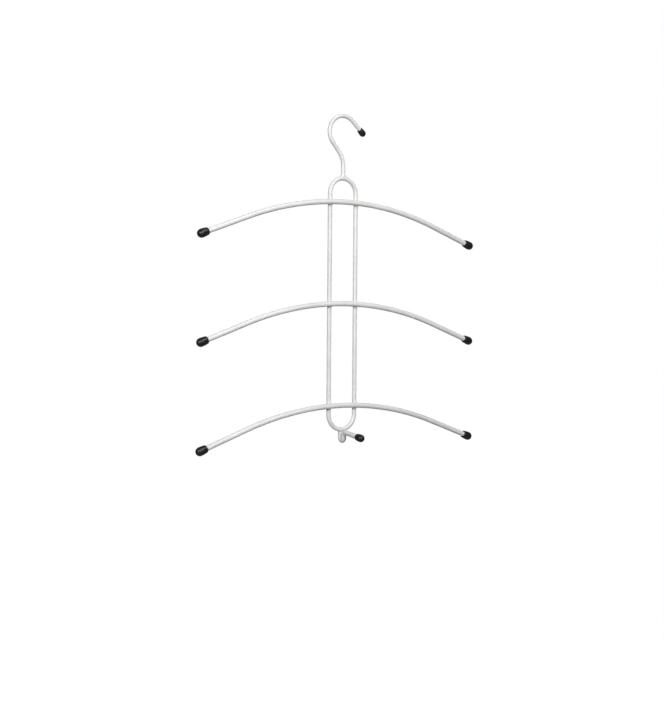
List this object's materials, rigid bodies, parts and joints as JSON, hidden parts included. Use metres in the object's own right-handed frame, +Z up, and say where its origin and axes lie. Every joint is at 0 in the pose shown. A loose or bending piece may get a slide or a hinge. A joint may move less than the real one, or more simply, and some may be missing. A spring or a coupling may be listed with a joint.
{
  "type": "scarf hanger",
  "caption": "Plastic-coated wire hanger with three arched arms across a tall closed loop, a rail hook on top, a capped peg at the foot and round caps on the wire ends.",
  "frame": {"origin": "the rail seat: the highest point of the inside of the main hook's crown, where it rests on the rail", "axes": "+Z up; X along the arms, with +X to the right seen from the front; the arms and the peg are on the front, -Y"},
  "size_m": [0.3972, 0.0495, 0.4001],
  "materials": {
    "steel_wire": "drawn wire, sealed under the coating",
    "pearl_coating": "dipped pearl-white plastic, half gloss",
    "black_cap": "moulded soft plastic, satin"
  },
  "bodies": {
    "root": {"frame_loop_wire": "steel_wire", "main_hook_wire": "steel_wire", "lower_hook_wire": "steel_wire", "upper_arm_wire": "steel_wire", "middle_arm_wire": "steel_wire", "lower_arm_wire": "steel_wire", "frame_loop_coating": "pearl_coating", "main_hook_coating": "pearl_coating", "lower_hook_coating": "pearl_coating", "upper_arm_coating": "pearl_coating", "middle_arm_coating": "pearl_coating", "lower_arm_coating": "pearl_coating", "main_hook_cap": "black_cap", "lower_hook_cap": "black_cap", "upper_arm_left_cap": "black_cap", "upper_arm_right_cap": "black_cap", "middle_arm_left_cap": "black_cap", "middle_arm_right_cap": "black_cap", "lower_arm_left_cap": "black_cap", "lower_arm_right_cap": "black_cap"}
  },
  "joints": []
}
